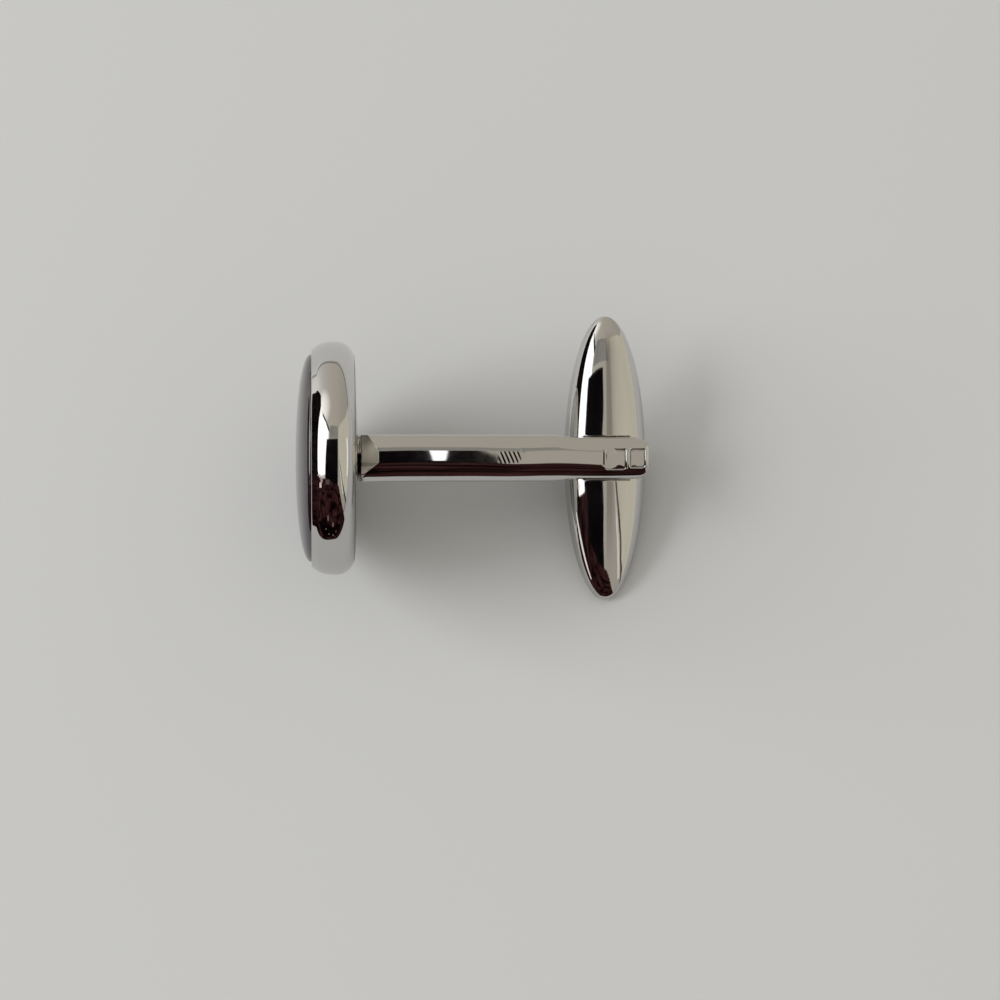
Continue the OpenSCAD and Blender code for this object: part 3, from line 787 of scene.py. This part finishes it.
# painted sheen: in the mirrors the paper is paler on the window's side of the link, and darker on the other side
away = addNode(tree, "VectorMath", (-1300, -200), {0: spot, 1: floor["seenFrom"]}, operation="SUBTRACT")
heading = addNode(tree, "VectorMath", (-1100, -200), {0: away.outputs["Vector"]}, operation="NORMALIZE")
sheen = addNode(tree, "MapRange", (-700, -200), {
    "Value": dotAt(tree, (-900, -200), heading.outputs["Vector"], floor["towardsWindow"]),
    "From Min": floor["sheenSpan"][0], "From Max": floor["sheenSpan"][1], "To Min": floor["sheen"]})
inMirrors = addNode(tree, "LightPath", (-700, -450)).outputs["Is Glossy Ray"]
dimming = addNode(tree, "Mix", (-500, -200), {0: inMirrors, 2: 1.0, 3: sheen.outputs["Result"]})
dimmed = addNode(tree, "VectorMath", (-300, 0), {0: shade, "Scale": dimming.outputs[0]}, operation="SCALE")
fill(tree, shader, {"Base Color": dimmed.outputs["Vector"], "Roughness": 1.0, "Specular IOR Level": 0.0})
ground.data.materials.append(paper)


# glowing card that only mirrors see: corners in link millimetres, colour mixed by noise
def mirrorCard(name, corners, low, high, scale, strength=1.0, oneSided=False):
    mesh = bpy.data.meshes.new(name)
    mesh.from_pydata(onTable(corners).tolist(), [], [list(range(len(corners)))])
    card = addObject(name, mesh)
    card.visible_camera = card.visible_diffuse = card.visible_shadow = False
    material, tree, shader, spot = newMaterial(name)
    tree.nodes.remove(shader)
    cloud = noiseAt(tree, (-700, 0), spot, scale, 4.0, 0.6)
    colour = rampAt(tree, (-450, 0), cloud, (*low, 1), (*high, 1), (0.4, 0.65))
    shown = addNode(tree, "Emission", (-150, 0), {"Color": colour, "Strength": strength}).outputs["Emission"]
    if oneSided:
        behind = addNode(tree, "NewGeometry", (-300, 300)).outputs["Backfacing"]
        clear = addNode(tree, "BsdfTransparent", (-300, -150)).outputs[0]
        shown = addNode(tree, "MixShader", (0, 150), {0: behind, 1: shown, 2: clear}).outputs[0]
    fill(tree, tree.nodes["Material Output"], {"Surface": shown})
    mesh.materials.append(material)


# far card, its corners given as angles from the camera's axis: along the arm, then towards the toggle's upper tip
def skyCard(name, distance, angles, low, high, scale, strength=1.0):
    along, up = np.radians(np.array(angles, float)).T
    rays = np.column_stack([np.sin(along) * np.cos(up), np.sin(up), np.cos(along) * np.cos(up)])
    middle = unitOf(rays.mean(0))
    mirrorCard(name, rays / (rays @ middle)[:, None] * distance, low, high, scale, strength)


# a dark card over the object, as round a camera held close, then the window and its frame, the dark wall to the left
# of it, a pale wall to the right with a dark edge and a glint, and a brown card near the link
white = (1, 1, 1)
mirrorCard("overheadCard", [
    (-80, -75, 150.5), (20.4, -75, 150.5), (20.4, 50, 150.5), (-59, 50, 150.5), (-68, 0, 150.5)],
    (0.002, 0.0015, 0.002), (0.006, 0.004, 0.005), 20.0)
skyCard("windowCard", 380, [
    (-16, 27), (-27, 34), (-43, 39), (-50, 39), (-59, 33), (-61.5, 22), (-61, -9), (-56, -13.5), (-30, -15),
    (-17, -12)], white, white, 5.0, 1.6)
skyCard("windowFrame", 340, [
    (-15, 24), (-26, 32.5), (-43, 37.5), (-44, 40.5), (-26, 35.5), (-13, 27)], (0.02, 0.018, 0.015),
    (0.05, 0.045, 0.04), 20.0)
skyCard("leftDarkCard", 420, [
    (-58, 36), (-56, 44), (-66, 52), (-80, 50), (-97, 42), (-100, 20), (-98, -8), (-90, -20), (-77, -22), (-54, -22),
    (-60, -6), (-60, 20)], (0.003, 0.002, 0.002), (0.012, 0.008, 0.007), 20.0)
skyCard("rightPaleCard", 600, [
    (11.5, 29), (60, 32), (88, 32), (88, -30), (64, -31), (50, -28), (34, -21), (28, -14), (23, -10), (18, -6),
    (14.5, -3), (12.5, 2), (11.5, 8)], (0.575, 0.535, 0.435), (0.615, 0.575, 0.475), 4.0)
skyCard("rightCardEdge", 500, [
    (13.6, -2), (17, -6), (21.5, -10), (26, -14), (31.5, -21), (46, -30), (64, -36), (84, -43), (84, -38), (66, -31),
    (50, -27.5), (34.5, -20.5), (28.5, -13.8), (23.5, -9.5), (18.5, -5.5), (14.6, -2)], (0.02, 0.018, 0.014),
    (0.07, 0.06, 0.05), 10.0)
skyCard("rightCardGlint", 505, [
    (12.6, -3), (14.2, -6), (17.5, -10), (20.5, -14), (25, -21), (36, -32), (44, -31), (30, -21), (24.5, -14),
    (20.2, -10), (16.2, -6), (13.6, -3)], (0.62, 0.59, 0.52), (0.85, 0.82, 0.74), 12.0)
mirrorCard("nearBrownCard", [
    (-300, -72, 152), (-190, -67, 152), (-110, -60, 152), (-48, -54, 152), (-25, -76, 152), (31, -76, 152),
    (38, -63, 75), (42, -52, 14), (42, -46, -20), (-190, -46, -20)], (0.003, 0.0008, 0.0008), (0.055, 0.02, 0.019),
    70.0)

# small lights and a dark corner of the room, near the rim and seen from its side only: corners and brightness
mirrorCard("roomDarkCard", [
    (-7.35, -8.72, 6.7), (-4.9, -9.57, 8.84), (-1.87, -10.83, 8.24), (-1.14, -10.38, 8.95), (1.13, -10.15, 8.52),
    (1.04, -10.79, 7.49), (-1.44, -11.61, 6.74), (-3.19, -11.66, 6.1), (-5.77, -10.48, 6.12)], (0.002, 0.0006, 0.0008),
    (0.006, 0.002, 0.002), 300.0, 1.0, True)
roomLights = [
    ([(-3.68, -8.84, 7.05), (-3.41, -8.89, 7.15), (-3.39, -8.97, 7.01), (-3.66, -8.93, 6.91)], 0.3),
    ([(-2.85, -9.39, 6.57), (-2.61, -9.42, 6.62), (-2.6, -9.5, 6.47), (-2.84, -9.47, 6.41)], 0.3),
    ([(-1.96, -9.54, 6.56), (-1.76, -9.55, 6.58), (-1.76, -9.63, 6.42), (-1.95, -9.62, 6.4)], 0.32),
    ([(-1.43, -9.21, 7.19), (-1.21, -9.21, 7.19), (-1.21, -9.38, 6.9), (-1.43, -9.38, 6.9)], 0.1),
    ([(-3.27, -7.59, 8.91), (-2.99, -7.61, 8.98), (-2.95, -8.16, 8.37), (-3.22, -8.14, 8.3)], 0.24),
    ([(-1.99, -8.43, 8.27), (-1.78, -8.44, 8.29), (-1.77, -8.84, 7.75), (-1.98, -8.83, 7.73)], 0.26),
    ([(-6.17, -3.15, 9.8), (-5.46, -3.26, 10.47), (-5.43, -3.9, 10.22), (-6.14, -3.77, 9.57)], 0.9),
    ([(-5.84, -2.56, 10.36), (-5.12, -2.63, 10.93), (-5.1, -3.3, 10.72), (-5.82, -3.21, 10.16)], 0.5),
    ([(-4.1, -2.97, 11.4), (-2.88, -3.02, 11.77), (-2.88, -3.71, 11.55), (-4.08, -3.65, 11.17)], 0.1),
    ([(-6.92, -2.01, 9.13), (-5.85, -2.16, 10.46), (-5.85, -2.3, 10.43), (-6.91, -2.13, 9.1)], 0.6)
]
for number, (corners, level) in enumerate(roomLights):
    mirrorCard("roomLight%d" % number, corners, (0.9, 0.72, 0.7), (1, 0.82, 0.8), 400.0, level, True)

# what the toggle mirrors low down, a bright spark, small things of the room and the camera's hood
mirrorCard("toggleDarkCard", [
    (10.5, -2.9, 10.2), (10.5, -60, 10.0), (10.5, -60, 1.72), (10.5, -2.8, 1.73)], (0.004, 0.001, 0.001),
    (0.05, 0.018, 0.017), 260.0, 1.0, True)
mirrorCard("toggleLowerLight", [
    (10.6, -3.89, 0.89), (10.6, -3.89, 1.2), (10.6, -6.11, 1.93), (10.6, -8.24, 2.4), (10.6, -10.48, 2.65),
    (10.6, -10.39, 1.78), (10.6, -8.16, 1.39), (10.6, -6.07, 1.07)], (0.9, 0.85, 0.83), (0.95, 0.92, 0.9), 5.0, 1.0,
    True)
mirrorCard("sparkCard", [(5.05, -2.6, 10), (5.85, -2.6, 10), (6.0, 2.9, 10), (4.85, 2.9, 10)], white, white, 5.0, 1.6)
skyCard("pinkStreak", 200, [
    (-51, -16), (-46, -15), (-40, -27), (-44, -29)], (0.12, 0.06, 0.055), (0.4, 0.3, 0.29), 30.0)
for number, (along, up) in enumerate([(-50, -67), (-30, -66), (-12, -70), (-28, -76), (-5, -77)]):
    skyCard("ceilingLamp%d" % number, 160, [(along - 3, up), (along, up + 1.2), (along + 3, up), (along, up - 1.2)],
            (0.5, 0.5, 0.5), (0.9, 0.9, 0.9), 5.0)
skyCard("hoodCard", 330, [(-13, 19), (11, 19), (9, 30), (-12, 31)], (0.24, 0.235, 0.21), (0.3, 0.29, 0.26), 8.0)

# world: an even pale light for matt surfaces; for mirrors a warm grey room, brighter round the window, with a
# skirting line over the floor
room = {"light": 0.55, "warmth": (1.03, 1.0, 0.965, 1), "seen": (0.57, 0.57, 0.56, 1), "skirting": 0.5,
        "skirtingTop": 0.05, "tint": (1.09, 1.005, 0.87), "windowTint": (1.03, 0.99, 0.94), "windowUpTo": -0.25,
        "glowTowards": (-0.46, 0.72, 0.52), "glowRim": 0.93, "glow": 2.0,
        "stops": [(-1.0, 0.62), (-0.88, 0.68), (-0.77, 0.82), (-0.64, 0.73), (-0.5, 0.6), (-0.34, 0.52),
                  (-0.17, 0.46), (0.0, 0.425), (0.34, 0.39), (0.7, 0.36), (1.0, 0.35)]}
world = bpy.data.worlds.new("room")
bpy.context.scene.world = world
world.use_nodes = True
tree = world.node_tree
tree.nodes.clear()
direction = addNode(tree, "TexCoord", (-1300, 0)).outputs["Generated"]
# how far a direction leans along the arm, -1 to 1, picks the wall's brightness
leanOver = dotAt(tree, (-1100, 200), direction, linkAxes[0])
wall = addNode(tree, "ValToRGB", (-650, 0), {"Fac": mathAt(tree, (-850, 100), "MULTIPLY_ADD", leanOver, 0.5)})
stops = wall.color_ramp.elements
for leans, level in room["stops"]:
    at = 0.5 * leans + 0.5
    stop = stops[0] if at == 0 else stops[len(stops) - 1] if at == 1 else stops.new(at)
    stop.color = [level * c for c in room["tint" if leans > room["windowUpTo"] else "windowTint"]] + [1]
# a patch of the ceiling over the window is brighter, fading out round its middle
overWindow = dotAt(tree, (-1100, -550), direction, np.array(room["glowTowards"]) @ linkAxes)
glow = addNode(tree, "MapRange", (-850, -550), {
    "Value": overWindow, "From Min": room["glowRim"], "To Min": 1.0, "To Max": room["glow"]
}, interpolation_type="SMOOTHSTEP")
height = addNode(tree, "SeparateXYZ", (-1100, -300), {0: direction}).outputs["Z"]
skirting = addNode(tree, "MapRange", (-850, -300), {
    "Value": height, "From Min": room["skirtingTop"] / 2, "From Max": room["skirtingTop"], "To Min": room["skirting"]})
bright = mathAt(tree, (-600, -400), "MULTIPLY", skirting.outputs["Result"], glow.outputs["Result"])
mirrored = addNode(tree, "Background", (-450, 0), {"Color": wall.outputs["Color"], "Strength": bright}).outputs[0]
plain = addNode(tree, "Background", (-450, 200), {"Color": room["warmth"], "Strength": room["light"]}).outputs[0]
seen = addNode(tree, "Background", (-450, 350), {"Color": room["seen"]}).outputs[0]
path = addNode(tree, "LightPath", (-850, 400)).outputs
mixed = addNode(tree, "MixShader", (-200, 100), {0: path["Is Glossy Ray"], 1: plain, 2: mirrored}).outputs[0]
mixed = addNode(tree, "MixShader", (0, 200), {0: path["Is Camera Ray"], 1: mixed, 2: seen}).outputs[0]
addNode(tree, "OutputWorld", (200, 200), {"Surface": mixed})

# window light: one soft lamp from the upper left, seen only through what it lights
lamp = {"from": (-0.93, 0.2, 0.25), "at": (8.0, 0, 0), "distance": 900, "size": 0.6, "power": 5.3,
        "tint": (0.97, 1.0, 1.04)}
data = bpy.data.lights.new("windowLamp", "AREA")
data.shape, data.size, data.energy, data.color = "SQUARE", lamp["size"], lamp["power"], lamp["tint"]
windowLamp = addObject("windowLamp", data)
towards = unitOf(lamp["from"])
windowLamp.location = onTable(np.array(lamp["at"]) + towards * lamp["distance"])
windowLamp.rotation_mode = "QUATERNION"
windowLamp.rotation_quaternion = Vector(-towards @ linkAxes).to_track_quat("-Z", "Y")
windowLamp.visible_glossy = False

# camera: over the face, aimed between face and toggle, with the arm level in the picture
eye = {"at": (-2.5, 0, 150), "aim": (9.03, -2.65, 0), "lens": 85.5, "clip": (0.01, 10)}
cameraData = bpy.data.cameras.new("camera")
cameraData.lens = eye["lens"]
cameraData.clip_start, cameraData.clip_end = eye["clip"]
camera = addObject("camera", cameraData)
back = unitOf(onTable(eye["at"]) - onTable(eye["aim"]))
right = unitOf(np.cross(linkAxes[1], back))
camera.matrix_world = placed(eye["at"], np.column_stack([right, np.cross(back, right), back]))
bpy.context.scene.camera = camera
bpy.context.scene.view_settings.view_transform = "Standard"
print("stage ready")
